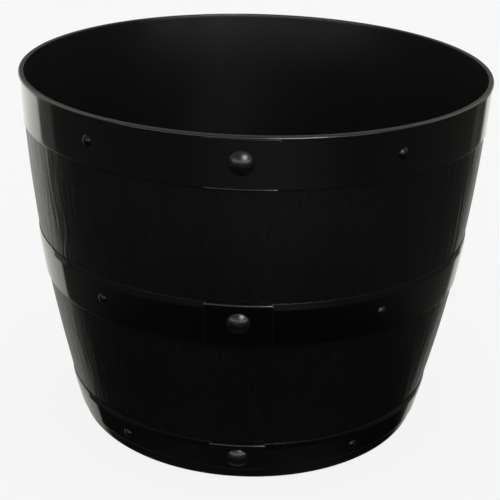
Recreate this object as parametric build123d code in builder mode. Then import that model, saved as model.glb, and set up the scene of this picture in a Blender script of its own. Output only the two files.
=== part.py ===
from build123d import *
import math
import os

# Half-barrel florist bucket: an open tub bound by three riveted hoops.
# Millimetres, +Z up. The origin is the centre of the foot ring's flat face, where
# the bucket meets the ground. The three hoop joints are on the -Y side.
# An azimuth is measured about +Z from -Y, growing towards +X.

# Tub
height = 300.0
base_radius = 147.0  # outside of the side wall, at the ground
waist_radius = 177.0  # outside of the side wall, half-way up
rim_radius = 189.0  # outside of the side wall, at the rim
wall = 2.4
floor_thickness = 3.0
foot_recess = 4.0  # clear height under the raised middle of the floor
foot_inner_radius = 126.0
lip_height = 2.0
lip_proud = 1.7  # off the side wall, level with the face of the joint plate under it

# Hoops: each one runs from low to high, with its rivets on their own heights.
# The top hoop butts the lip; the others thin out to a tip over the height of their taper.
# Plate and edge are the joint plate's thickness and the rounding of its outer edge.
# Only the top hoop's joint plate has a bead along its foot.
hoop_thickness = 1.2
hoops = {
    "top": {"low": 261.0, "high": height - lip_height, "taper": 0.0,
            "plate": 0.5, "edge": 0.25, "bead": True, "joint_rivet": 281.0, "rivets": 280.5},
    "middle": {"low": 133.0, "high": 171.0, "taper": 5.0,
               "plate": 1.8, "edge": 1.4, "bead": False, "joint_rivet": 155.5, "rivets": 153.0},
    "bottom": {"low": 12.0, "high": 38.5, "taper": 5.0,
               "plate": 1.8, "edge": 1.4, "bead": False, "joint_rivet": 26.0, "rivets": 23.0},
}
hoop_tip = 0.35  # thickness left at the top of a hoop that thins out
joint_gap = 2.0  # between the two ends of a hoop
plate_angle = 16.6  # part of the circle that a joint plate covers
bead_radius = 0.8
bead_lift = 0.35  # its centre line stands this far off the plate's face
bead_rise = 0.85  # and this far above the plate's foot
bead_angle = 15.2

# Rivets
rivets_per_hoop = 5
rivet_pitch = 360 / rivets_per_hoop
first_rivet = rivet_pitch / 2  # the joint lies half-way between two rivets
small_rivet_azimuths = [first_rivet + rivet_pitch * place for place in range(rivets_per_hoop)]
bedding_arc = 12.0  # part of the circle over which a head is trimmed to its seat
shank_clearance = 0.05  # all round a shank in its blind hole
hoop_hole_clearance = 0.15  # all round a shank where it passes the hoop or plate
blind_depth = 1.5  # into the side wall, which stays watertight
shank_short = 0.1  # left free under a shank's end
hoop_hole_depth = 2 * hoop_thickness  # past the hoop's far side all round the hole
plate_hole_ratio = 2.0  # of the plate's thickness, past its far side all round the hole
joint_rivet = {"radius": 9.0, "height": 4.6, "shank": 4.0}
small_rivet = {"radius": 4.25, "height": 2.3, "shank": 1.75}
brim_height_ratio = 0.12  # of the head's height, the upright edge round its foot
brim_fillet_ratio = 0.06  # of the head's radius

# Rounding
lip_outer_fillet = 1.4
lip_inner_fillet = 0.7
base_fillet = 5.0
inner_base_fillet = 8.0
floor_step_fillet = 1.9
hoop_fillet = 0.85  # along a hoop's outer lower edge
plate_corner_fillet = 2.5

# Underside
drain_mark_radius = 6.0
drain_mark_depth = 0.8
drain_mark_circle = 90.0
drain_marks = 5

# The side wall is one circular arc, turned about Z
side_curve = ThreePointArc((base_radius, 0), (waist_radius, height / 2), (rim_radius, height))
side_centre = side_curve.arc_center
side_curve_radius = side_curve.radius


def side_point(z, proud=0.0):
    """Radius and height of the point at height z on the side, moved outwards by proud."""
    rise = z - side_centre.Y
    return (side_centre.X + math.sqrt((side_curve_radius + proud) ** 2 - rise**2), z)


def side_arc(start, end, proud=0.0):
    """Arc along the side between two heights, proud of the wall's outer face."""
    return ThreePointArc(
        side_point(start, proud), side_point((start + end) / 2, proud), side_point(end, proud)
    )


def around_plane(azimuth):
    """Upright plane through Z: its x runs outwards at the azimuth, its y runs up."""
    turn = math.radians(azimuth - 90)
    return Plane(
        origin=(0, 0, 0),
        x_dir=(math.cos(turn), math.sin(turn), 0),
        z_dir=(math.sin(turn), -math.cos(turn), 0),
    )


def surface_plane(azimuth, z, proud):
    """Plane square to the wall where it stands at azimuth and height z, moved outwards by proud."""
    outwards = around_plane(azimuth)
    radius = side_point(z)[0]
    normal = Vector(radius - side_centre.X, z - side_centre.Y).normalized()
    origin = Vector(radius, z) + normal * proud
    return Plane(
        origin=outwards.from_local_coords(origin),
        x_dir=outwards.z_dir * -1,
        z_dir=outwards.x_dir * normal.X + outwards.y_dir * normal.Y,
    )


def hoop_face(hoop):
    """Outline of a hoop's outer face from its foot to its top."""
    crown = hoop["high"] - hoop["taper"]
    side_arc(hoop["low"], crown, hoop_thickness)
    if hoop["taper"]:
        Line(side_point(crown, hoop_thickness), side_point(hoop["high"], hoop_tip))


def top_proud(hoop):
    """How far a hoop's top stands off the wall."""
    return hoop_tip if hoop["taper"] else hoop_thickness


def hoop_section(hoop):
    """Section of a hoop's strap against the wall."""
    low, high = hoop["low"], hoop["high"]
    with BuildSketch() as section:
        with BuildLine():
            hoop_face(hoop)
            Line(side_point(high, top_proud(hoop)), side_point(high))
            side_arc(high, low)
            Line(side_point(low), side_point(low, hoop_thickness))
        make_face()
        fillet(nearest(section.vertices(), side_point(low, hoop_thickness)), hoop_fillet)
    return section.sketch


def plate_section(hoop, face):
    """Section of a joint plate, from the hoop's outer face to its own, face off the wall."""
    low, high = hoop["low"], hoop["high"]
    with BuildSketch() as section:
        with BuildLine():
            hoop_face(hoop)
            Line(side_point(high, top_proud(hoop)), side_point(high, face))
            side_arc(high, low, face)
            Line(side_point(low, face), side_point(low, hoop_thickness))
        make_face()
    return section.sketch


def seat_section(hoop, inner, outer):
    """Section of the room that a seat takes up, between two distances proud of the wall."""
    low, high = hoop["low"], hoop["high"]
    with BuildSketch() as section:
        with BuildLine():
            side_arc(low, high, inner)
            Line(side_point(high, inner), side_point(high, outer))
            side_arc(high, low, outer)
            Line(side_point(low, outer), side_point(low, inner))
        make_face()
    return section.sketch


def finish(piece, label):
    """Name a finished piece and write it."""
    piece.part.label = label
    export_step(piece.part, f"parts/{label}.step")


def nearest(items, point):
    """The vertex, edge or face closest to a point."""
    return items.sort_by_distance(point)[0]


def rivet(size, hoop, azimuth, z, seat):
    """A domed blind rivet, its head bedded on the face that stands seat off the wall."""
    surface = surface_plane(azimuth, z, seat)
    axis = Axis(surface.origin, surface.z_dir)
    upright = Plane(surface.origin, surface.x_dir, surface.x_dir.cross(surface.z_dir))
    radius, rise = size["radius"], size["height"]
    skirt = rise  # runs on below the seat, then is trimmed away
    trim_foot = seat - 2 * skirt
    brim = (radius, brim_height_ratio * rise)
    length = seat + blind_depth - shank_short
    with BuildPart() as blank:
        with BuildSketch(upright) as half:
            with BuildLine():
                Polyline(brim, (radius, -skirt), (0, -skirt), (0, rise))
                TangentArc((0, rise), brim, tangent=(1, 0))
            make_face()
            fillet(nearest(half.vertices(), brim), brim_fillet_ratio * radius)
        revolve(axis=axis)
        with BuildSketch(around_plane(azimuth - bedding_arc / 2)):
            add(seat_section(hoop, trim_foot, seat))
        revolve(axis=Axis.Z, revolution_arc=bedding_arc, mode=Mode.SUBTRACT)
        with BuildSketch(surface):
            Circle(size["shank"])
        extrude(amount=-length)
    return blank.part


os.makedirs("parts", exist_ok=True)

# The tub: one moulding with a closed floor raised inside a foot ring
inner_foot = side_point(floor_thickness, -wall)
inner_rim = side_point(height, -wall)
lip_root = side_point(height - lip_height)
lip_radius = lip_root[0] + lip_proud
channel_radius = foot_inner_radius + floor_thickness
floor_top = foot_recess + floor_thickness
shell_rounding = [
    ((base_radius, 0), base_fillet),
    (inner_foot, inner_base_fillet),
    ((lip_radius, height), lip_outer_fillet),
    (inner_rim, lip_inner_fillet),
    ((foot_inner_radius, 0), floor_step_fillet),
    ((foot_inner_radius, foot_recess), floor_step_fillet),
    ((channel_radius, floor_thickness), floor_step_fillet),
    ((channel_radius, floor_top), floor_step_fillet),
]

with BuildPart() as bucket_shell:
    with BuildSketch(around_plane(90)) as shell_section:
        with BuildLine():
            Polyline((0, foot_recess), (foot_inner_radius, foot_recess), (foot_inner_radius, 0),
                     (base_radius, 0))
            side_arc(0, height - lip_height)
            Polyline(lip_root, (lip_radius, height - lip_height), (lip_radius, height), inner_rim)
            side_arc(height, floor_thickness, -wall)
            Polyline(inner_foot, (channel_radius, floor_thickness), (channel_radius, floor_top),
                     (0, floor_top), (0, foot_recess))
        make_face()
        for corner, radius in shell_rounding:
            fillet(nearest(shell_section.vertices(), corner), radius)
    revolve(axis=Axis.Z)

    # Blind holes for the rivets, square to the wall
    for hoop in hoops.values():
        with Locations(surface_plane(0, hoop["joint_rivet"], 0)):
            Hole(joint_rivet["shank"] + shank_clearance, depth=blind_depth)
        with Locations(*[surface_plane(place, hoop["rivets"], 0) for place in small_rivet_azimuths]):
            Hole(small_rivet["shank"] + shank_clearance, depth=blind_depth)

    # Round marks under the floor show where drain holes may be cut
    with BuildSketch(Plane.XY.offset(foot_recess)):
        with PolarLocations(drain_mark_circle, drain_marks):
            Circle(drain_mark_radius)
    extrude(amount=drain_mark_depth, mode=Mode.SUBTRACT)

finish(bucket_shell, "bucket_shell")

# Three hoops of the same build, each with its joint plate and rivets
for name, hoop in hoops.items():
    joint_surface = surface_plane(0, hoop["joint_rivet"], hoop_thickness)
    small_surfaces = [surface_plane(place, hoop["rivets"], hoop_thickness)
                      for place in small_rivet_azimuths]

    with BuildPart() as strap:
        with BuildSketch(around_plane(0)):
            add(hoop_section(hoop))
        revolve(axis=Axis.Z)
        with Locations((0, -rim_radius, height / 2)):
            Box(joint_gap, rim_radius, height, mode=Mode.SUBTRACT)
        with Locations(joint_surface):
            Hole(joint_rivet["shank"] + hoop_hole_clearance, depth=hoop_hole_depth)
        with Locations(*small_surfaces):
            Hole(small_rivet["shank"] + hoop_hole_clearance, depth=hoop_hole_depth)
    finish(strap, f"{name}_hoop")

    plate_face = hoop_thickness + hoop["plate"]
    plate_surface = surface_plane(0, hoop["joint_rivet"], plate_face)
    with BuildPart() as plate:
        with BuildSketch(around_plane(-plate_angle / 2)):
            add(plate_section(hoop, plate_face))
        revolve(axis=Axis.Z, revolution_arc=plate_angle)
        level_corners = plate.edges().filter_by(GeomType.LINE).filter_by(Plane.XY)
        fillet(level_corners, plate_corner_fillet)
        fillet(nearest(plate.faces(), plate_surface.origin).edges(), hoop["edge"])
        if hoop["bead"]:
            bead_line = side_point(hoop["low"] + bead_rise, plate_face + bead_lift)
            bead_ends = [around_plane(turn) for turn in (-bead_angle / 2, bead_angle / 2)]
            with BuildSketch(bead_ends[0]):
                with Locations(bead_line):
                    Circle(bead_radius)
            revolve(axis=Axis.Z, revolution_arc=bead_angle)
            with Locations(*[plane.from_local_coords(Vector(*bead_line)) for plane in bead_ends]):
                Sphere(bead_radius)
        with Locations(plate_surface):
            Hole(joint_rivet["shank"] + hoop_hole_clearance,
                 depth=plate_hole_ratio * hoop["plate"])
    finish(plate, f"{name}_joint_plate")

    with BuildPart() as joint_rivet_piece:
        add(rivet(joint_rivet, hoop, 0, hoop["joint_rivet"], plate_face))
    finish(joint_rivet_piece, f"{name}_joint_rivet")

    with BuildPart() as rivet_ring:
        with PolarLocations(0, rivets_per_hoop):
            add(rivet(small_rivet, hoop, first_rivet, hoop["rivets"], hoop_thickness))
    finish(rivet_ring, f"{name}_hoop_rivets")
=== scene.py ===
"""Florist bucket: a black half-barrel tub with three riveted hoops, on a pale studio floor."""

import math

import bpy
import numpy as np
from mathutils import Matrix, Vector


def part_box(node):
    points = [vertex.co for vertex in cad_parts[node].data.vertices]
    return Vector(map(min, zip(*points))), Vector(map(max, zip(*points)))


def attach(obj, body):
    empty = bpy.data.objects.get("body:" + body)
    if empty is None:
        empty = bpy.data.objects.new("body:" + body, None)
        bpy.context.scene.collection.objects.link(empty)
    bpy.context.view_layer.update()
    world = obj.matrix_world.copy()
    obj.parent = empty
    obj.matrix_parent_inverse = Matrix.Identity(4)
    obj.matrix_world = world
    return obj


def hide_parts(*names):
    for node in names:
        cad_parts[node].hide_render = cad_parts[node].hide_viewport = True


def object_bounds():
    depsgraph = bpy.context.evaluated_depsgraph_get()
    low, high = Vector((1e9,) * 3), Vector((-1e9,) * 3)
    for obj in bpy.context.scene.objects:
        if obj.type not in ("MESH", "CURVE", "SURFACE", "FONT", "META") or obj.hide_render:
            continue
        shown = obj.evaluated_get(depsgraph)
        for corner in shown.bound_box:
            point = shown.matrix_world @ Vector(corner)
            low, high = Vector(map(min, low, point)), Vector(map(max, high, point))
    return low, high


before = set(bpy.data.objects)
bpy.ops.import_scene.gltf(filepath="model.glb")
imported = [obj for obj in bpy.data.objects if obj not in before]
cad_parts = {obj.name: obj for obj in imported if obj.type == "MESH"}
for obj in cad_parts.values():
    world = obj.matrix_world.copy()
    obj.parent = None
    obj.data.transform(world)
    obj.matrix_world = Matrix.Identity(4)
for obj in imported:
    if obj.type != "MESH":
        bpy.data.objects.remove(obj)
cad_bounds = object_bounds()

MM = 0.001
BANDS = ("top", "middle", "bottom")

# Sizes that the frame's boxes don't give, in metres
BASE_RADIUS = 147.0 * MM  # of the side wall: at the ground, half-way up and at the rim
WAIST_RADIUS = 177.0 * MM
RIM_RADIUS = 189.0 * MM
HOOP_THICKNESS = 1.2 * MM
HOOP_ROUND = 0.85 * MM
HOOP_TIP = 0.35 * MM  # thickness at the top edge of a hoop that thins out upwards
HOOP_TAPER = {"top": 0.0, "middle": 5.0 * MM, "bottom": 5.0 * MM}
CROWN_ROUND = 3.0 * MM  # where a hoop's face turns into its taper
FINE_ROUND = 0.1 * MM  # a hoop's upper edges, and the lip's foot where the top hoop butts it
WALL = 2.4 * MM
LIP_HEIGHT = 2.0 * MM
LIP_OUTER_ROUND = 1.4 * MM
LIP_INNER_ROUND = 0.7 * MM
FLOOR_THICKNESS = 3.0 * MM
FOOT_RECESS = 4.0 * MM
FOOT_INNER_RADIUS = 126.0 * MM
STEP_ROUND = 1.9 * MM
BASE_ROUND = 5.0 * MM
INNER_BASE_ROUND = 8.0 * MM
DRAIN_MARK_RADIUS = 6.0 * MM
DRAIN_MARK_CIRCLE = 90.0 * MM
DRAIN_MARK_DEPTH = 0.8 * MM
DRAIN_MARK_SLOPE = 1.6 * MM  # width of a mark's sloping edge
DRAIN_MARKS = 5
JOINT_GAP = 2.0 * MM
PLATES = {  # joint plates: thickness, and rounding of the outer edge
    "top": (0.5 * MM, 0.25 * MM),
    "middle": (1.8 * MM, 1.4 * MM),
    "bottom": (1.8 * MM, 1.4 * MM),
}
PLATE_CORNER = 2.5 * MM
PLATE_ANGLE = math.radians(16.6)
BEAD_RADIUS = 0.8 * MM
BEAD_LIFT = 0.35 * MM  # of its centre line, off the plate's face
BEAD_RISE = 0.85 * MM  # of its centre line, above the plate's foot
BEAD_ANGLE = math.radians(15.2)
RIVETS_PER_HOOP = 5
RIVET_PITCH = math.tau / RIVETS_PER_HOOP
JOINT_RIVET = {"radius": 9.0 * MM, "height": 4.6 * MM}
SMALL_RIVET = {"radius": 4.25 * MM, "height": 2.3 * MM}
PLATE_MIDDLE = 0.6 * JOINT_RIVET["radius"]  # of the round patch of a plate's face under its rivet
RIVET_SUNK = 0.35 * MM  # how far a head runs on under its curved seat
BRIM_HEIGHT_RATIO = 0.12  # of the head's height, the upright edge round its foot
BRIM_ROUND_RATIO = 0.06  # of the head's radius

# Mesh density: points round the bucket, and the height of a row of the grained panels
GRAIN_SEGMENTS = 1280
PLAIN_SEGMENTS = 256
HOOP_SEGMENTS = 720
GRAIN_ROW = 3.6 * MM


# ---------------------------------------------------------------- the side's curve


def circle_through(a, b, c):
    """Centre and radius of the circle through three (r, z) points."""
    rows = np.array([[b[0] - a[0], b[1] - a[1]], [c[0] - a[0], c[1] - a[1]]])
    sums = np.array([b[0] ** 2 + b[1] ** 2, c[0] ** 2 + c[1] ** 2]) - a[0] ** 2 - a[1] ** 2
    centre = np.linalg.solve(rows, sums / 2)
    return centre, float(np.hypot(*(np.array(a) - centre)))


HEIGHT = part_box("bucket_shell")[1].z
LIP_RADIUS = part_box("bucket_shell")[1].x
SIDE_CENTRE, WALL_FACE_RADIUS = circle_through(
    (BASE_RADIUS, 0.0), (WAIST_RADIUS, HEIGHT / 2), (RIM_RADIUS, HEIGHT)
)


def side_radius(z, proud=0.0):
    """Distance from the axis to the wall's outer face at height z, moved outwards by proud."""
    return SIDE_CENTRE[0] + np.sqrt((WALL_FACE_RADIUS + proud) ** 2 - (z - SIDE_CENTRE[1]) ** 2)


def hoop_span(band):
    """Heights of a hoop's lower and upper edge."""
    low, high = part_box(f"{band}_hoop")
    return low.z, high.z


# ---------------------------------------------------------------- mesh helpers


def around(azimuth, radius, z):
    """Point at an azimuth measured from -Y towards +X."""
    return np.stack([radius * np.sin(azimuth), -radius * np.cos(azimuth), z + 0 * azimuth], -1)


def rounded(before, corner, after, radius, steps=4):
    """Points of the arc that rounds a corner of a section."""
    before, corner, after = (np.array(p, float) for p in (before, corner, after))
    to_before = (before - corner) / np.linalg.norm(before - corner)
    to_after = (after - corner) / np.linalg.norm(after - corner)
    half = math.acos(float(np.clip(to_before @ to_after, -1, 1))) / 2
    middle = (to_before + to_after) / np.linalg.norm(to_before + to_after)
    centre = corner + middle * radius / math.sin(half)
    start = corner + to_before * radius / math.tan(half) - centre
    end = corner + to_after * radius / math.tan(half) - centre
    sweep = math.pi - 2 * half
    shares = np.linspace(0, 1, steps + 1)
    weights = np.sin((1 - shares) * sweep), np.sin(shares * sweep)
    arc = (weights[0][:, None] * start + weights[1][:, None] * end) / math.sin(sweep)
    return [tuple(centre + p) for p in arc]


def straight(start, end, steps):
    """Points between two section points, both left out."""
    shares = np.linspace(0, 1, steps + 1)[1:-1]
    return [tuple(np.array(start) * (1 - t) + np.array(end) * t) for t in shares]


def add_piece(name, points, faces, materials, face_slots=None, attributes=()):
    """A smooth-shaded mesh object that rides on the bucket's only body."""
    mesh = bpy.data.meshes.new(name)
    mesh.from_pydata([tuple(p) for p in points], [], faces)
    for material in materials:
        mesh.materials.append(material)
    mesh.polygons.foreach_set("use_smooth", [True] * len(mesh.polygons))
    if face_slots is not None:
        mesh.polygons.foreach_set("material_index", face_slots)
    for label, values in attributes:
        layer = mesh.attributes.new(label, "FLOAT", "POINT")
        layer.data.foreach_set("value", np.asarray(values, np.float32))
    mesh.update()
    piece = bpy.data.objects.new(name, mesh)
    bpy.context.scene.collection.objects.link(piece)
    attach(piece, "root")
    return piece


def ring_faces(low, low_count, high, high_count):
    """Faces between two rings of a lathed surface; counts may differ by a whole ratio."""
    if low_count == high_count:
        n = low_count
        return [(low + j, low + (j + 1) % n, high + (j + 1) % n, high + j) for j in range(n)]
    if low_count > high_count:
        ratio = low_count // high_count
        return [
            tuple(low + (j * ratio + k) % low_count for k in range(ratio + 1))
            + (high + (j + 1) % high_count, high + j)
            for j in range(high_count)
        ]
    ratio = high_count // low_count
    return [
        (low + j, low + (j + 1) % low_count)
        + tuple(high + (j * ratio + k) % high_count for k in range(ratio, -1, -1))
        for j in range(low_count)
    ]


# ---------------------------------------------------------------- wood grain relief


SPARE_ROWS = 3  # of a noise table, above its last cell


def lattice(seed, around_cells, up_cells):
    """Table of random values for smooth_noise, the same for the same seed."""
    return np.random.default_rng(seed).random((around_cells, up_cells + SPARE_ROWS))


def smooth_noise(table, u, v):
    """Value noise: u is a share of one turn and repeats, v is a share of the table's height."""
    cells_u, cells_v = table.shape[0], table.shape[1] - SPARE_ROWS
    x, y = (u % 1.0) * cells_u, np.clip(v, 0, 1) * cells_v
    i, j = np.floor(x).astype(int), np.floor(y).astype(int)
    fx, fy = x - i, y - j
    fx, fy = fx * fx * (3 - 2 * fx), fy * fy * (3 - 2 * fy)
    i0, i1, j1 = i % cells_u, (i + 1) % cells_u, j + 1
    low = table[i0, j] * (1 - fx) + table[i1, j] * fx
    high = table[i0, j1] * (1 - fx) + table[i1, j1] * fx
    return low * (1 - fy) + high * fy


GRAIN_DEPTH = 0.30 * MM
GRAIN_TUCK = 1.2 * MM  # how far the grain runs on under a hoop
GRAIN_FADE = (3.0 * MM, 0.7)  # height over which it fades out, and what is left at a hoop's edge
GRAIN_WANDER = 9.0 * MM  # how far the grain lines stray sideways
WANDER_LENGTH = 70.0 * MM  # height over which they do
WANDER_CELLS = 36  # round the bucket
GRAIN_LAYERS = (  # line spacing, length along the grain, share of the depth
    (6.5 * MM, 130 * MM, 0.42),
    (3.6 * MM, 80 * MM, 0.38),
    (2.2 * MM, 45 * MM, 0.20),
)
# Knots of the lower and the upper panel: azimuth in degrees, share of the panel's height,
# half-width and half-height
KNOTS = (
    (
        (-24, 0.40, 5 * MM, 13 * MM),
        (49, 0.66, 5 * MM, 12 * MM),
        (124, 0.35, 6 * MM, 15 * MM),
        (-115, 0.60, 5 * MM, 14 * MM),
    ),
    (
        (-59, 0.62, 4.5 * MM, 9 * MM),
        (17, 0.34, 6 * MM, 15 * MM),
        (83, 0.70, 5 * MM, 13 * MM),
        (148, 0.42, 6 * MM, 14 * MM),
        (-131, 0.30, 6 * MM, 16 * MM),
    ),
)
KNOT_RING = 2.6 * MM  # spacing of a knot's rings
KNOT_PULL = 0.85  # how strongly the lines bend round a knot
KNOT_REACH = 2.2  # how far out they bend, in knot sizes


def grain(azimuth, z, low, high, panel):
    """Depth of the moulded grain from 0 to 1 over a panel between two heights."""
    seed = panel + 1
    radius = side_radius((low + high) / 2)
    turn = math.tau * radius
    up = (z - low) / (high - low)
    along = azimuth / math.tau
    wander_rows = round((high - low) / WANDER_LENGTH) + 2
    wander = smooth_noise(lattice(seed, WANDER_CELLS, wander_rows), along, up)
    path = azimuth * radius + GRAIN_WANDER * (wander - 0.5)
    rings = np.zeros_like(path)
    inside = np.zeros_like(path)
    for degrees, share, half_width, half_height in KNOTS[panel]:
        offset = (azimuth - math.radians(degrees) + math.pi) % math.tau - math.pi
        across = offset * radius
        rise = z - (low + (high - low) * share)
        reach = np.sqrt((across / half_width) ** 2 + (rise / half_height) ** 2)
        path = path - across * KNOT_PULL * np.exp(-((reach / KNOT_REACH) ** 2))
        here = np.exp(-(reach**4))
        ring = 0.5 + 0.5 * np.cos(reach * half_width / KNOT_RING * math.tau)
        rings = rings * (1 - here) + here * ring
        inside = np.maximum(inside, here)
    total = np.zeros_like(path)
    for number, (spacing, length, share) in enumerate(GRAIN_LAYERS):
        cells_up = max(1, round((high - low) / length)) + 1
        table = lattice(seed + 11 * (number + 1), round(turn / spacing), cells_up)
        lines = smooth_noise(table, path / turn, up)
        total = total + share * (1 - np.abs(2 * lines - 1))
    return total * (1 - inside) + rings * inside


# ---------------------------------------------------------------- the tub


def plain(points, zone):
    """Smooth rings of the tub's section, as (radius, height, segments, zone)."""
    return [(r, z, PLAIN_SEGMENTS, zone) for r, z in points]


def under_rings():
    """From the middle of the floor's underside to the start of the side wall."""
    base = side_radius(0.0)
    marks = 1.3 * DRAIN_MARK_RADIUS  # close rings on both sides of the marks' circle
    close_rings = np.linspace(DRAIN_MARK_CIRCLE - marks, DRAIN_MARK_CIRCLE + marks, 17)
    flat = [4 * MM, 30 * MM, 58 * MM] + list(close_rings) + [112 * MM]
    step_top, step_foot = (FOOT_INNER_RADIUS, FOOT_RECESS), (FOOT_INNER_RADIUS, 0.0)
    wall_start = (side_radius(2 * BASE_ROUND), 2 * BASE_ROUND)
    rings = plain([(r, FOOT_RECESS) for r in flat], "under")
    rings += plain(rounded((0, FOOT_RECESS), step_top, step_foot, STEP_ROUND, 3), "under")
    rings += plain(rounded(step_top, step_foot, (base, 0.0), STEP_ROUND, 3), "under")
    rings += plain(straight((FOOT_INNER_RADIUS + STEP_ROUND, 0), (base - BASE_ROUND, 0), 3), "under")
    return rings + plain(rounded(step_foot, (base, 0.0), wall_start, BASE_ROUND, 6), "foot")


def side_rings():
    """Up the outside: plain behind the hoops, fine rows on the two grained panels."""
    spans = [hoop_span(band) for band in reversed(BANDS)]
    behind = np.linspace(BASE_ROUND + 2 * MM, spans[0][1] - 3 * GRAIN_TUCK, 5)
    rings = plain([(side_radius(z), z) for z in behind], "foot")
    for number, (below, above) in enumerate(zip(spans[:-1], spans[1:])):
        low, high = below[1] - GRAIN_TUCK, above[0] + GRAIN_TUCK
        rows = np.linspace(low, high, round((high - low) / GRAIN_ROW))
        rings += [(side_radius(z), z, GRAIN_SEGMENTS, f"panel{number}") for z in rows]
        behind = np.linspace(high + GRAIN_TUCK, above[1] - 3 * GRAIN_TUCK, 4)
        rings += plain([(side_radius(z), z) for z in behind], "foot")
    return rings


def lip_rings():
    """Out under the lip, round its edge and over its flat top to the inside."""
    foot = HEIGHT - LIP_HEIGHT
    lip_root, inner_rim = (side_radius(foot), foot), (side_radius(HEIGHT, -WALL), HEIGHT)
    lip_under, lip_edge = (LIP_RADIUS, foot), (LIP_RADIUS, HEIGHT)
    flat = (LIP_RADIUS - LIP_OUTER_ROUND, HEIGHT), (inner_rim[0] + LIP_INNER_ROUND, HEIGHT)
    inside_start = (side_radius(HEIGHT - 4 * MM, -WALL), HEIGHT - 4 * MM)
    points = [lip_root, (LIP_RADIUS - FINE_ROUND, foot), (LIP_RADIUS, foot + FINE_ROUND)]
    points += rounded(lip_under, lip_edge, inner_rim, LIP_OUTER_ROUND, 6)
    points += straight(*flat, 2)
    points += rounded(lip_edge, inner_rim, inside_start, LIP_INNER_ROUND, 4)
    return plain(points, "lip")


def inside_rings():
    """Down the inner wall, and over the channel and the step to the middle of the floor."""
    floor_top = FOOT_RECESS + FLOOR_THICKNESS
    channel = FOOT_INNER_RADIUS + FLOOR_THICKNESS
    channel_foot, channel_top = (channel, FLOOR_THICKNESS), (channel, floor_top)
    inner_foot = (side_radius(FLOOR_THICKNESS, -WALL), FLOOR_THICKNESS)
    wall_end = FLOOR_THICKNESS + 2.4 * INNER_BASE_ROUND
    points = [(side_radius(z, -WALL), z) for z in np.linspace(HEIGHT - 3 * MM, wall_end, 30)]
    points += rounded(points[-1], inner_foot, channel_foot, INNER_BASE_ROUND, 6)
    points += rounded(inner_foot, channel_foot, channel_top, STEP_ROUND, 3)
    points += rounded(channel_foot, channel_top, (0, floor_top), STEP_ROUND, 3)
    points += [(r, floor_top) for r in np.linspace(channel - 4 * STEP_ROUND, 5 * MM, 12)]
    return plain(points, "inside")


def drain_mark_depth(radius, azimuth):
    """How far the five round marks under the floor are pressed in, at a ring's points."""
    depth = 0.0
    for mark in range(DRAIN_MARKS):
        place = mark * math.tau / DRAIN_MARKS + math.pi / 2
        gap = np.hypot(
            radius * np.sin(azimuth) - DRAIN_MARK_CIRCLE * math.sin(place),
            radius * np.cos(azimuth) - DRAIN_MARK_CIRCLE * math.cos(place),
        )
        share = np.clip((DRAIN_MARK_RADIUS + 1 * MM - gap) / DRAIN_MARK_SLOPE, 0, 1)
        depth = depth + DRAIN_MARK_DEPTH * share
    return depth


def tub_points(rings):
    """Points and grain depth of every ring of the section."""
    spans = [hoop_span(band) for band in reversed(BANDS)]
    points, depths = [], []
    for radius, z, count, zone in rings:
        azimuth = np.arange(count) * math.tau / count
        depth = np.zeros(count)
        height = np.full(count, z)
        if zone.startswith("panel"):
            number = int(zone[-1])
            low, high = spans[number][1], spans[number + 1][0]
            fade = np.clip(min(z - low, high - z) / GRAIN_FADE[0] + GRAIN_FADE[1], 0, 1)
            depth = grain(azimuth, height, low, high, number) * fade
            radius = radius - depth * GRAIN_DEPTH
        if zone == "under":
            height = height + drain_mark_depth(radius, azimuth)
        points.append(around(azimuth, radius, height))
        depths.append(depth)
    return points, depths


def make_tub(materials):
    """The whole tub as one closed lathed mesh with the grain pressed into its two panels."""
    rings = under_rings() + side_rings() + lip_rings() + inside_rings()
    points, depths = tub_points(rings)
    starts = np.cumsum([0] + [len(ring) for ring in points]).tolist()
    total = starts.pop()
    slot_of = {"panel0": 0, "panel1": 0, "under": 1, "foot": 1, "lip": 1, "inside": 2}
    faces, slots = [], []
    for (low, first), (high, second) in zip(zip(starts, rings), zip(starts[1:], rings[1:])):
        made = ring_faces(low, first[2], high, second[2])
        faces.extend(made)
        zone = first[3] if first[3].startswith("panel") else second[3]
        slots.extend([slot_of[zone]] * len(made))
    bottom, top = total, total + 1
    points.append(np.array([[0, 0, FOOT_RECESS], [0, 0, FOOT_RECESS + FLOOR_THICKNESS]]))
    depths.append(np.zeros(2))
    n, last = PLAIN_SEGMENTS, starts[-1]
    faces.extend((bottom, (j + 1) % n, j) for j in range(n))
    faces.extend((last + j, last + (j + 1) % n, top) for j in range(n))
    slots.extend([slot_of["under"]] * n + [slot_of["inside"]] * n)
    attributes = [("grain", np.concatenate(depths))]
    tub = add_piece("tub", np.concatenate(points), faces, materials, slots, attributes)
    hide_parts("bucket_shell")


# ---------------------------------------------------------------- hoops, plates and rivets


def hoop_section(low, high, taper):
    """Closed section of a strap as (proud, height) points from the bottom edge up the outer face and
    down the back, and how near to an outer edge each point is."""
    bottom = rounded((0, low), (HOOP_THICKNESS, low), (HOOP_THICKNESS, high), HOOP_ROUND, 6)
    crown = (HOOP_THICKNESS, high - taper)
    if taper:
        tip = (HOOP_TIP, high)
        top = rounded((HOOP_THICKNESS, low), crown, tip, CROWN_ROUND, 3)
        top += straight(crown, tip, 4)[1:]
        top += rounded(crown, tip, (0, high), FINE_ROUND, 2)
    else:
        top = rounded((HOOP_THICKNESS, low), crown, (0, high), FINE_ROUND, 3)
    margin = HOOP_ROUND + 0.5 * MM
    face = [(HOOP_THICKNESS, z) for z in np.linspace(low + margin, crown[1] - margin, 9)]
    back = [(0.0, z) for z in np.linspace(high, low, 5)]
    top_edges = [0.0] * (len(top) - 2) + [1.0] * 2
    corners = [1.0] * len(bottom) + [0.55] + [0.0] * (len(face) - 1) + top_edges + [0.3] * len(back)
    return bottom + face + top + back, corners


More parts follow.
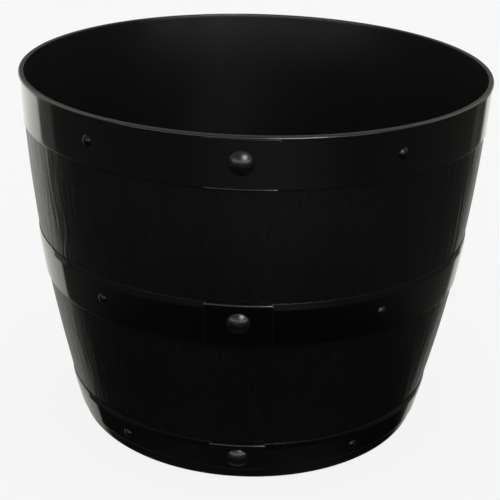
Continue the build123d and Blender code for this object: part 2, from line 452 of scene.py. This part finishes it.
def make_hoop(band, material):
    """Strap bent round the wall, open at its joint."""
    low, high = hoop_span(band)
    section, edges = hoop_section(low, high, HOOP_TAPER[band])
    gap = JOINT_GAP / 2 / side_radius((low + high) / 2)
    stations = np.linspace(gap, math.tau - gap, HOOP_SEGMENTS)
    heights = np.ones(HOOP_SEGMENTS)
    columns = [around(stations, side_radius(z, proud), z * heights) for proud, z in section]
    points = np.stack(columns, 1).reshape(-1, 3)
    size = len(section)
    faces = []
    for here in range(0, (HOOP_SEGMENTS - 1) * size, size):
        there = here + size
        for k in range(size):
            after = (k + 1) % size
            faces.append((here + k, there + k, there + after, here + after))
    faces.append(tuple(range(size)))
    faces.append(tuple((HOOP_SEGMENTS - 1) * size + k for k in range(size - 1, -1, -1)))
    attributes = [("edge", edges * HOOP_SEGMENTS)]
    piece = add_piece(f"{band}_strap", points, faces, [material], None, attributes)
    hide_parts(f"{band}_hoop")


def rounded_rectangle(half_width, half_height, corner, steps=6, side_steps=10):
    """Outline of a rounded rectangle, the same number of points for any size."""
    corner = min(corner, half_width * 0.999, half_height * 0.999)
    reach = np.array([half_width - corner, half_height - corner])
    signs = ((1, -1), (1, 1), (-1, 1), (-1, -1))
    points = []
    for number, sign in enumerate(signs):
        centre = reach * sign
        next_centre = reach * signs[(number + 1) % 4]
        start = (number - 1) * math.pi / 2
        for a in np.linspace(start, start + math.pi / 2, steps + 1):
            points.append(centre + corner * np.array([math.cos(a), math.sin(a)]))
        turn = start + math.pi / 2
        next_start = next_centre + corner * np.array([math.cos(turn), math.sin(turn)])
        points.extend(np.array(straight(points[-1], next_start, side_steps)))
    return np.array(points)


def bead_mesh(height, proud, along=48, about=16, cap=5):
    """Round-ended bar bent round the plate, for the bead along its foot."""
    radius = side_radius(height, proud)
    ends = -BEAD_ANGLE / 2, BEAD_ANGLE / 2
    cap_turn = BEAD_RADIUS / radius
    tips = np.linspace(0.15, math.pi / 2, cap, endpoint=False)
    stations = [(ends[0] - cap_turn * math.cos(t), BEAD_RADIUS * math.sin(t)) for t in tips]
    stations += [(turn, BEAD_RADIUS) for turn in np.linspace(*ends, along)]
    stations += [(ends[1] + cap_turn * math.cos(t), BEAD_RADIUS * math.sin(t)) for t in tips[::-1]]
    angles = np.arange(about) * math.tau / about
    points = []
    for turn, size in stations:
        turns = np.full(about, turn)
        points.extend(around(turns, radius + size * np.cos(angles), height + size * np.sin(angles)))
    faces = []
    for ring in range(len(stations) - 1):
        faces.extend(ring_faces((ring + 1) * about, about, ring * about, about))
    faces.append(tuple(range(about)))
    last = (len(stations) - 1) * about
    faces.append(tuple(last + j for j in range(about - 1, -1, -1)))
    return points, faces


def hoop_face(band, z):
    """How far the hoop's outer face stands off the wall at height z."""
    if not HOOP_TAPER[band]:
        return np.full_like(z, HOOP_THICKNESS)
    top = hoop_span(band)[1]
    share = np.clip((z - top + HOOP_TAPER[band]) / HOOP_TAPER[band], 0, 1)
    return HOOP_THICKNESS + (HOOP_TIP - HOOP_THICKNESS) * share


def plate_layers(band, half_width, half_height):
    """Outlines from under the plate, round its edge and in over its face. Each layer is an outline,
    how far it stands off the wall, and how near it is to the plate's edge."""
    thickness, edge_round = PLATES[band]
    face = HOOP_THICKNESS + thickness
    layers = []

    def shrunk(inset):
        return rounded_rectangle(half_width - inset, half_height - inset, PLATE_CORNER)

    def towards_middle(outline, share):
        circle = PLATE_MIDDLE * shape / np.linalg.norm(shape, axis=1)[:, None]
        return outline * (1 - share) + circle * share

    shape = shrunk(edge_round + 0.5 * MM)
    under = shrunk(0.0)
    for share in (1.0, 0.5):
        layers.append((towards_middle(under, share), HOOP_THICKNESS, 0.0))
    layers.append((under, HOOP_THICKNESS, 1.0))
    for t in np.linspace(0, math.pi / 2, 8):
        inset = edge_round * (1 - math.cos(t))
        layers.append((shrunk(inset), face - edge_round * (1 - math.sin(t)), 1.0))
    layers.append((shape, face, 0.5))
    for share in (0.2, 0.4, 0.6, 0.8, 1.0):
        layers.append((towards_middle(shape, share), face, 0.0))
    return layers


def make_plate(band, material):
    """Joint plate: a pad bent round the hoop, its edges rounded over."""
    low, high = hoop_span(band)
    middle = (low + high) / 2
    radius = side_radius(middle)
    face = HOOP_THICKNESS + PLATES[band][0]
    layers = plate_layers(band, PLATE_ANGLE / 2 * radius, (high - low) / 2)
    count = len(layers[0][0])
    points, edges = [], []
    for outline, proud, edge in layers:
        z = middle + outline[:, 1]
        stand = hoop_face(band, z) if proud == HOOP_THICKNESS else proud
        points.extend(around(outline[:, 0] / radius, side_radius(z, stand), z))
        edges.extend([edge] * count)
    faces = []
    for start in range(0, (len(layers) - 1) * count, count):
        faces.extend(ring_faces(start, count, start + count, count))
    last, total = (len(layers) - 1) * count, len(points)
    for proud in (HOOP_THICKNESS, face):
        points.extend(around(np.zeros(1), side_radius(middle, proud), np.array([middle])))
        edges.append(0.0)
    faces.extend((total, (j + 1) % count, j) for j in range(count))
    faces.extend((last + j, last + (j + 1) % count, total + 1) for j in range(count))
    if band == "top":
        bead_points, bead_faces = bead_mesh(low + BEAD_RISE, face + BEAD_LIFT)
        faces.extend(tuple(index + len(points) for index in bead_face) for bead_face in bead_faces)
        points.extend(bead_points)
        edges.extend([1.0] * len(bead_points))
    piece = add_piece(f"{band}_clasp", points, faces, [material], None, [("edge", edges)])
    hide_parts(f"{band}_joint_plate")


def rivet_profile(size):
    """Half-section of a rivet head from its sunk foot to its crown: (radius, rise) pairs."""
    radius, rise = size["radius"], size["height"]
    foot, brim = (radius, -RIVET_SUNK), (radius, BRIM_HEIGHT_RATIO * rise)
    drop = rise - brim[1]
    dome_radius = (radius**2 + drop**2) / (2 * drop)
    angles = np.linspace(math.asin(radius / dome_radius), 0, 16)[1:-1]
    dome = [(dome_radius * math.sin(a), rise - dome_radius * (1 - math.cos(a))) for a in angles]
    points = [foot] + rounded(foot, brim, dome[0], BRIM_ROUND_RATIO * radius, 3) + dome
    return [(0.5 * radius, -RIVET_SUNK)] + points


def rivet_mesh(size, azimuth, z, seat, segments=56):
    """Points and faces of one rivet head standing square on the side."""
    direction = np.array([side_radius(z, seat) - SIDE_CENTRE[0], z - SIDE_CENTRE[1]])
    direction = direction / np.linalg.norm(direction)
    out = np.array([math.sin(azimuth), -math.cos(azimuth), 0])
    normal = out * direction[0] + np.array([0, 0, direction[1]])
    across = np.array([math.cos(azimuth), math.sin(azimuth), 0])
    up = np.cross(normal, across)
    centre = around(np.array(azimuth), side_radius(z, seat), np.array(z))
    profile = rivet_profile(size)
    angles = np.arange(segments) * math.tau / segments
    points = [centre + normal * profile[0][1]]
    for r, rise in profile:
        points.extend(
            centre + normal * rise + r * (math.cos(a) * across + math.sin(a) * up) for a in angles
        )
    points.append(centre + normal * size["height"])
    faces = [(0, 1 + (j + 1) % segments, 1 + j) for j in range(segments)]
    for ring in range(len(profile) - 1):
        faces.extend(ring_faces(1 + ring * segments, segments, 1 + (ring + 1) * segments, segments))
    last = 1 + (len(profile) - 1) * segments
    faces.extend((last + j, last + (j + 1) % segments, len(points) - 1) for j in range(segments))
    return points, faces


def make_rivets(name, node, size, azimuths, seat, material):
    """One piece with a rivet head at each azimuth, half-way up the node's box."""
    low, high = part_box(node)
    points, faces = [], []
    for azimuth in azimuths:
        more_points, more_faces = rivet_mesh(size, azimuth, (low.z + high.z) / 2, seat)
        faces.extend(tuple(index + len(points) for index in face) for face in more_faces)
        points.extend(more_points)
    piece = add_piece(name, points, faces, [material])
    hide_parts(node)


# ---------------------------------------------------------------- materials


class Nodes:
    """A short way to build a node tree: add nodes, set inputs and link outputs into inputs."""

    def __init__(self, tree):
        self.tree = tree
        tree.nodes.clear()

    def add(self, kind, inputs=None, **settings):
        made = self.tree.nodes.new(kind)
        for key, value in settings.items():
            setattr(made, key, value)
        for key, value in (inputs or {}).items():
            socket = made.inputs[key]
            if isinstance(value, bpy.types.NodeSocket):
                self.tree.links.new(value, socket)
            else:
                socket.default_value = value
        return made

    def math(self, operation, a, b=0.0):
        """One sum on one or two values."""
        return self.add("ShaderNodeMath", {0: a, 1: b}, operation=operation).outputs[0]

    def total(self, *values):
        result = values[0]
        for value in values[1:]:
            result = self.math("ADD", result, value)
        return result

    def product(self, *values):
        result = values[0]
        for value in values[1:]:
            result = self.math("MULTIPLY", result, value)
        return result

    def spread(self, value, low, high, to_low=0.0, to_high=1.0):
        """A smooth step from to_low at low to to_high at high."""
        inputs = {"Value": value, "From Min": low, "From Max": high, "To Min": to_low, "To Max": to_high}
        made = self.add("ShaderNodeMapRange", inputs, interpolation_type="SMOOTHSTEP")
        return made.outputs["Result"]

    def noise(self, vector, scale, detail=3.0, roughness=0.5):
        inputs = {"Vector": vector, "Scale": scale, "Detail": detail, "Roughness": roughness}
        return self.add("ShaderNodeTexNoise", inputs).outputs["Fac"]

    def stretched(self, along_z):
        """Object coordinates drawn out along Z, so that noise on them runs up the bucket."""
        place = self.add("ShaderNodeTexCoord").outputs["Object"]
        return self.add("ShaderNodeMapping", {"Vector": place, "Scale": (1, 1, along_z)}).outputs[0]

    def blend(self, share, dark, light):
        """Colour from dark at share 0 to light at share 1."""
        made = self.add("ShaderNodeMix", {"Factor": share}, data_type="RGBA")
        made.inputs["A"].default_value = (*dark, 1)
        made.inputs["B"].default_value = (*light, 1)
        return made.outputs["Result"]

    def bump(self, height, distance, strength=1.0, under=None):
        """Normal with a relief on it, over another normal if there is one under it."""
        made = self.add("ShaderNodeBump", {"Height": height, "Distance": distance, "Strength": strength})
        if under is not None:
            self.tree.links.new(under, made.inputs["Normal"])
        return made.outputs["Normal"]


# Each black, and the colour that it wears to
BLACK = (0.0030, 0.0030, 0.0030)
WORN_BLACK = (0.0050, 0.0050, 0.0048)
SATIN_BLACK = (0.0052, 0.0052, 0.0051)
WORN_SATIN = (0.0072, 0.0072, 0.0069)
INSIDE_BLACK = (0.0082, 0.0083, 0.0083)
WORN_INSIDE = (0.0092, 0.0093, 0.0092)


def plastic(name):
    """A new material and its empty node tree."""
    material = bpy.data.materials.new(name)
    material.use_nodes = True
    return material, Nodes(material.node_tree)


def close(nodes, colour, roughness, normal, matt=0.0):
    """Finish a material; matt is the share of the surface that scatters instead of shining."""
    inputs = {"Base Color": colour, "Roughness": roughness, "Normal": normal, "IOR": 1.5}
    surface = nodes.add("ShaderNodeBsdfPrincipled", inputs)
    if matt:
        dull = nodes.add("ShaderNodeBsdfDiffuse", {"Color": colour, "Normal": normal})
        both = {"Fac": matt, 1: surface.outputs[0], 2: dull.outputs[0]}
        surface = nodes.add("ShaderNodeMixShader", both)
    nodes.add("ShaderNodeOutputMaterial", {"Surface": surface.outputs[0]})


def scuffs(nodes, share):
    """Sparse short rubs: 0 on clean plastic, up to share on a rub."""
    place = nodes.add("ShaderNodeTexCoord").outputs["Object"]
    slanted = {"Vector": place, "Rotation": (0.3, 0.2, 0.5), "Scale": (1, 1, 7)}
    lines = nodes.noise(nodes.add("ShaderNodeMapping", slanted).outputs[0], 160, 5, 0.7)
    patches = nodes.noise(place, 22, 2)
    return nodes.product(nodes.spread(lines, 0.66, 0.74), nodes.spread(patches, 0.55, 0.7, 0.0, share))


def grained_plastic():
    """The side panels: satin black with a fine upright grain over the moulded relief."""
    material, nodes = plastic("tub_grain")
    relief = nodes.add("ShaderNodeAttribute", attribute_name="grain").outputs["Fac"]
    fibre = nodes.noise(nodes.stretched(0.045), 820, 3, 0.6)
    streak = nodes.noise(nodes.stretched(0.03), 260, 3, 0.55)
    cloud = nodes.noise(nodes.stretched(0.6), 26, 3)
    shade = nodes.total(nodes.product(streak, 0.6), nodes.product(cloud, 0.4))
    colour = nodes.blend(nodes.spread(shade, 0.35, 0.75), SATIN_BLACK, WORN_SATIN)
    fibre_rough = nodes.spread(fibre, 0.25, 0.75, 0.16, 0.26)
    rough = nodes.total(fibre_rough, nodes.product(relief, 0.06), scuffs(nodes, 0.12))
    fine = nodes.bump(fibre, 0.10 * MM, 0.5)
    normal = nodes.bump(streak, 0.25 * MM, 0.5, fine)
    close(nodes, colour, rough, normal, matt=0.45)
    return material


def smooth_plastic():
    """Lip, foot and underside: smooth, rubbed a little duller."""
    material, nodes = plastic("tub_smooth")
    cloud = nodes.noise(nodes.stretched(1.0), 35, 4)
    fine = nodes.noise(nodes.stretched(0.4), 900, 3)
    colour = nodes.blend(nodes.spread(cloud, 0.4, 0.8), BLACK, WORN_BLACK)
    rough = nodes.total(nodes.spread(cloud, 0.3, 0.7, 0.16, 0.26), scuffs(nodes, 0.2))
    close(nodes, colour, rough, nodes.bump(fine, 0.02 * MM, 0.5))
    return material


def inside_plastic():
    """The inner wall and floor: smooth satin with faint upright flow lines from the mould."""
    material, nodes = plastic("tub_inside")
    flow = nodes.noise(nodes.stretched(0.02), 70, 3, 0.6)
    cloud = nodes.noise(nodes.stretched(0.5), 14, 2)
    fine = nodes.noise(nodes.stretched(0.3), 700, 3)
    colour = nodes.blend(nodes.spread(flow, 0.35, 0.75), INSIDE_BLACK, WORN_INSIDE)
    rough = nodes.total(nodes.spread(cloud, 0.3, 0.7, 0.24, 0.27), scuffs(nodes, 0.06))
    normal = nodes.bump(fine, 0.03 * MM, 0.5, nodes.bump(flow, 0.012 * MM, 0.25))
    close(nodes, colour, rough, normal)
    return material


def hoop_plastic():
    """Hoops and joint plates: glossy, slightly wavy, a little rubbed along their edges."""
    material, nodes = plastic("hoop_gloss")
    edge = nodes.add("ShaderNodeAttribute", attribute_name="edge").outputs["Fac"]
    wave = nodes.noise(nodes.stretched(0.5), 45, 2)
    lines = nodes.noise(nodes.stretched(0.05), 420, 3, 0.6)
    smudge = nodes.noise(nodes.stretched(1.0), 30, 5, 0.6)
    rub = nodes.noise(nodes.stretched(1.0), 240, 4, 0.7)
    colour = nodes.blend(nodes.product(edge, nodes.spread(rub, 0.45, 0.70)), BLACK, WORN_BLACK)
    smudge_rough = nodes.spread(smudge, 0.35, 0.7, 0.06, 0.11)
    rough = nodes.total(smudge_rough, nodes.product(edge, 0.12), scuffs(nodes, 0.15))
    normal = nodes.bump(lines, 0.012 * MM, 0.5, nodes.bump(wave, 0.10 * MM, 0.5))
    close(nodes, colour, rough, normal)
    return material


def rivet_plastic(name, matt):
    """Rivet heads: polished, with faint rubbing."""
    material, nodes = plastic(name)
    rub = nodes.noise(nodes.stretched(1.0), 380, 4, 0.65)
    colour = nodes.blend(nodes.spread(rub, 0.5, 0.8), BLACK, WORN_BLACK)
    rough = nodes.spread(rub, 0.35, 0.75, 0.27, 0.34)
    close(nodes, colour, rough, nodes.bump(rub, 0.01 * MM, 0.3), matt=matt)
    return material


# ---------------------------------------------------------------- stage, light and camera

WHITE = 0.955
FLOOR_SIZE = 12.0
FLOOR_GAP = 0.5 * MM  # under the foot ring, so that the two faces don't flicker
FLOOR_OWN_LIGHT = 0.9  # share of the floor's white that no shadow takes away


def make_floor():
    """Pale floor under the bucket. The bucket's black gloss is kept clear of its reflection."""
    mesh = bpy.data.meshes.new("floor")
    half = FLOOR_SIZE / 2
    corners = [(-half, -half, 0), (half, -half, 0), (half, half, 0), (-half, half, 0)]
    mesh.from_pydata(corners, [], [(0, 1, 2, 3)])
    floor = bpy.data.objects.new("floor", mesh)
    bpy.context.scene.collection.objects.link(floor)
    material = bpy.data.materials.new("floor_white")
    material.use_nodes = True
    nodes = Nodes(material.node_tree)
    matt = nodes.add("ShaderNodeBsdfDiffuse", {"Color": (0.9, 0.9, 0.9, 1)})
    glow = nodes.add("ShaderNodeEmission", {"Color": (1, 1, 1, 1), "Strength": WHITE})
    share = {"Fac": FLOOR_OWN_LIGHT, 1: matt.outputs[0], 2: glow.outputs[0]}
    both = nodes.add("ShaderNodeMixShader", share)
    nodes.add("ShaderNodeOutputMaterial", {"Surface": both.outputs[0]})
    mesh.materials.append(material)
    floor.location.z = cad_bounds[0].z - FLOOR_GAP
    floor.visible_glossy = False
    floor.visible_diffuse = False


# The studio as the gloss sees it, in degrees: turned to the left of straight back, and lifted
BACK_WALL = (-31.0, 56.0)  # from its right end to its left end
BACK_WALL_SOFT = (2.0, 1.2)  # how softly those ends fade
BACK_WALL_TOP = (6.0, 0.0)  # none of it above the one height, all of it below the other
BACK_WALL_SLANT = (-30.0, 0.6)  # below this height its left end draws in, at this rate
BACK_WALL_LIGHT = (1.1, 1.7)  # at the right and at the left
BACK_WALL_TURN = (5.0, 50.0)  # where it changes from the one to the other
BACK_WALL_FADE = (-17.0, 19.0)  # starts to fade below this height, at this rate
DIM_STRIPS = ((-47.0, -40.0, 0.06), (56.0, 70.0, 0.17))  # right end, left end, light
DIM_STRIP_FOOT = -24.0
DIM_STRIP_SOFT = (1.5, 2.0)  # at its ends and at its foot
HORIZON_LIGHT = 5.2  # a low bright band behind the camera
HORIZON_HALF_WIDTH = 62.0
HORIZON_LIFT = (1.5, 9.0)
HORIZON_SOFT = (6.0, 0.5, 3.0)  # at its ends, its foot and its top
SKY_BACK_LIGHT = (0.11, 1.1)  # straight back and to its sides
SKY_BACK_TURN = (13.0, 42.0)  # where it changes from the one to the other
SKY_FRONT_LIGHT = 0.35
SKY_FRONT_TURN = (120.0, 60.0)  # all of it beyond the one, none of it within the other
SKY_LIFT = (2.0, 12.0)
# For the dark floor in front, sides are told apart by the direction's x
FLOOR_FAR_LIGHT = (0.06, 0.14, 0.06)  # left, middle, right
FLOOR_FAR_CHANGES = ((-0.6, 0.1), (0.3, 0.75))
FLOOR_FAR_LIFT = (-41.0, -31.0)
FLOOR_NEAR_LIGHT = (0.012, 0.005)  # at the left, and elsewhere
FLOOR_NEAR_CHANGE = (-0.45, -0.1)
FOOT_GLOW = 0.03
FOOT_GLOW_LIFT = (-47.0, -60.0)
FOOT_GLOW_CHANGE = (0.0, 0.45, 1.0, 1.5)  # half as much again at the right
GLOSS_TINT = (1.0, 1.0, 0.94, 1)
EVEN_LIGHT = (0.1, 1.06)  # on matt surfaces, from below and from above


def wall_light(nodes, left, lift, low_side):
    """The bright back wall, and a dim strip beyond each of its ends."""
    below = nodes.math("MINIMUM", nodes.math("SUBTRACT", lift, BACK_WALL_FADE[0]), 0.0)
    fade = nodes.math("EXPONENT", nodes.math("DIVIDE", below, BACK_WALL_FADE[1]))
    under = nodes.math("MAXIMUM", nodes.math("SUBTRACT", BACK_WALL_SLANT[0], lift), 0.0)
    slanted = nodes.total(left, nodes.product(under, BACK_WALL_SLANT[1]))
    (right_end, left_end), (right_soft, left_soft) = BACK_WALL, BACK_WALL_SOFT
    opens = nodes.spread(left, right_end - right_soft, right_end + right_soft)
    closes = nodes.spread(slanted, left_end + left_soft, left_end - left_soft)
    wall = nodes.spread(left, *BACK_WALL_TURN, *BACK_WALL_LIGHT)
    parts = [nodes.product(opens, closes, fade, low_side, wall)]
    end_soft, foot_soft = DIM_STRIP_SOFT
    for right_end, left_end, light in DIM_STRIPS:
        opens = nodes.spread(left, right_end - end_soft, right_end + end_soft)
        closes = nodes.spread(left, left_end + end_soft, left_end - end_soft)
        above = nodes.spread(lift, DIM_STRIP_FOOT - foot_soft, DIM_STRIP_FOOT + foot_soft)
        parts.append(nodes.product(opens, closes, above, low_side, light))
    return parts


def sky_light(nodes, turned, lift):
    """Pale sky over everything, and the low bright band behind the camera."""
    back = nodes.spread(turned, *SKY_BACK_TURN, *SKY_BACK_LIGHT)
    front = nodes.spread(turned, *SKY_FRONT_TURN, SKY_FRONT_LIGHT, SKY_BACK_LIGHT[1])
    sky = nodes.product(nodes.spread(lift, *SKY_LIFT), nodes.math("MINIMUM", back, front))
    end_soft, foot_soft, top_soft = HORIZON_SOFT
    foot, top = HORIZON_LIFT
    end = 180 - HORIZON_HALF_WIDTH
    sill = nodes.spread(lift, foot - foot_soft, foot + foot_soft)
    head = nodes.spread(lift, top + top_soft, top - top_soft)
    jambs = nodes.spread(turned, end - end_soft, end + end_soft)
    return [sky, nodes.product(sill, head, jambs, HORIZON_LIGHT)]


def floor_light(nodes, x, lift):
    """The dark floor in front of the bucket, a little paler far off and right at the foot."""
    floor_left, floor_middle, floor_right = FLOOR_FAR_LIGHT
    from_left = nodes.spread(x, *FLOOR_FAR_CHANGES[0], floor_left, floor_middle)
    to_right = nodes.spread(x, *FLOOR_FAR_CHANGES[1], floor_middle, floor_right)
    far = nodes.product(nodes.math("MINIMUM", from_left, to_right), nodes.spread(lift, *FLOOR_FAR_LIFT))
    near = nodes.spread(x, *FLOOR_NEAR_CHANGE, *FLOOR_NEAR_LIGHT)
    glow = nodes.spread(lift, *FOOT_GLOW_LIFT, 0.0, FOOT_GLOW)
    return [far, near, nodes.product(glow, nodes.spread(x, *FOOT_GLOW_CHANGE))]


def make_world():
    """White to the camera, even light from above to matt surfaces, and a dark studio with a bright
    back wall to glossy ones."""
    world = bpy.data.worlds.new("studio")
    bpy.context.scene.world = world
    world.use_nodes = True
    nodes = Nodes(world.node_tree)
    direction = nodes.add("ShaderNodeTexCoord").outputs["Generated"]
    x, y, z = nodes.add("ShaderNodeSeparateXYZ", {0: direction}).outputs
    left = nodes.product(nodes.math("ARCTAN2", nodes.product(x, -1.0), y), 180 / math.pi)
    lift = nodes.product(nodes.math("ARCSINE", z), 180 / math.pi)
    low_side = nodes.spread(lift, *BACK_WALL_TOP)
    lights = floor_light(nodes, x, lift) + wall_light(nodes, left, lift, low_side)
    lights += sky_light(nodes, nodes.math("ABSOLUTE", left), lift)
    shine = {"Color": GLOSS_TINT, "Strength": nodes.total(*lights)}
    gloss = nodes.add("ShaderNodeBackground", shine).outputs[0]
    even_light = nodes.spread(lift, -5, 5, *EVEN_LIGHT)
    even = nodes.add("ShaderNodeBackground", {"Strength": even_light}).outputs[0]
    white = nodes.add("ShaderNodeBackground", {"Strength": WHITE}).outputs[0]
    path = nodes.add("ShaderNodeLightPath").outputs
    lit = nodes.add("ShaderNodeMixShader", {"Fac": path["Is Glossy Ray"], 1: even, 2: gloss}).outputs[0]
    seen = nodes.add("ShaderNodeMixShader", {"Fac": path["Is Camera Ray"], 1: lit, 2: white})
    nodes.add("ShaderNodeOutputWorld", {"Surface": seen.outputs[0]})


KEY_SIZE = 0.6  # metres
KEY_POWER = 15.0  # watts
KEY_COLOUR = (0.93, 0.97, 1.0)
KEY_DIRECTION = Vector((0.34, -0.78, 0.52)).normalized()
KEY_DISTANCE = 1.6


def make_key_light():
    """Soft box in front, to the right and up: only the gloss shows it, on the rivets and edges."""
    light = bpy.data.lights.new("key", "AREA")
    light.shape = "SQUARE"
    light.size = KEY_SIZE
    light.energy = KEY_POWER
    light.color = KEY_COLOUR
    lamp = bpy.data.objects.new("key", light)
    lamp.location = Vector((0, 0, HEIGHT / 2)) + KEY_DIRECTION * KEY_DISTANCE
    lamp.rotation_euler = KEY_DIRECTION.to_track_quat("Z", "Y").to_euler()
    lamp.visible_diffuse = False
    bpy.context.scene.collection.objects.link(lamp)


CAMERA_AZIMUTH = 2.6  # degrees to the right of the hoop joints
CAMERA_AWAY = 0.9505  # metres from the bucket's axis
CAMERA_HEIGHT = 0.5473
CAMERA_DOWN = 23.434  # degrees below the horizon
CAMERA_ASIDE = 0.082  # degrees to the left of the axis
CAMERA_ROLL = 1.45  # degrees
CAMERA_LENS = 85.97  # millimetres
CAMERA_SENSOR = 36.0


def make_camera():
    """Camera in front of the hoop joints, looking down at the bucket."""
    camera = bpy.data.cameras.new("camera")
    camera.lens = CAMERA_LENS
    camera.sensor_width = CAMERA_SENSOR
    camera.clip_start, camera.clip_end = 0.05, 50.0
    viewer = bpy.data.objects.new("camera", camera)
    bpy.context.scene.collection.objects.link(viewer)
    turn = math.radians(CAMERA_AZIMUTH)
    place = Vector((CAMERA_AWAY * math.sin(turn), -CAMERA_AWAY * math.cos(turn), CAMERA_HEIGHT))
    tilt = (
        Matrix.Rotation(math.radians(CAMERA_AZIMUTH + CAMERA_ASIDE), 4, "Z")
        @ Matrix.Rotation(math.radians(90 - CAMERA_DOWN), 4, "X")
        @ Matrix.Rotation(math.radians(CAMERA_ROLL), 4, "Z")
    )
    viewer.matrix_world = Matrix.Translation(place) @ tilt
    bpy.context.scene.camera = viewer


# ---------------------------------------------------------------- build

tub_materials = [grained_plastic(), smooth_plastic(), inside_plastic()]
hoop_material = hoop_plastic()
rivet_gloss = rivet_plastic("rivet_gloss", 0.0)
rivet_satin = rivet_plastic("rivet_satin", 0.5)
round_places = [RIVET_PITCH * (number + 0.5) for number in range(RIVETS_PER_HOOP)]
make_tub(tub_materials)
for band in BANDS:
    make_hoop(band, hoop_material)
    make_plate(band, hoop_material)
    joint_rivet, hoop_rivets = f"{band}_joint_rivet", f"{band}_hoop_rivets"
    plate_face = HOOP_THICKNESS + PLATES[band][0]
    make_rivets(f"{band}_clasp_rivet", joint_rivet, JOINT_RIVET, [0.0], plate_face, rivet_gloss)
    make_rivets(f"{band}_strap_rivets", hoop_rivets, SMALL_RIVET, round_places, HOOP_THICKNESS, rivet_satin)

make_floor()
make_world()
make_key_light()
make_camera()
bpy.context.scene.view_settings.view_transform = "Standard"
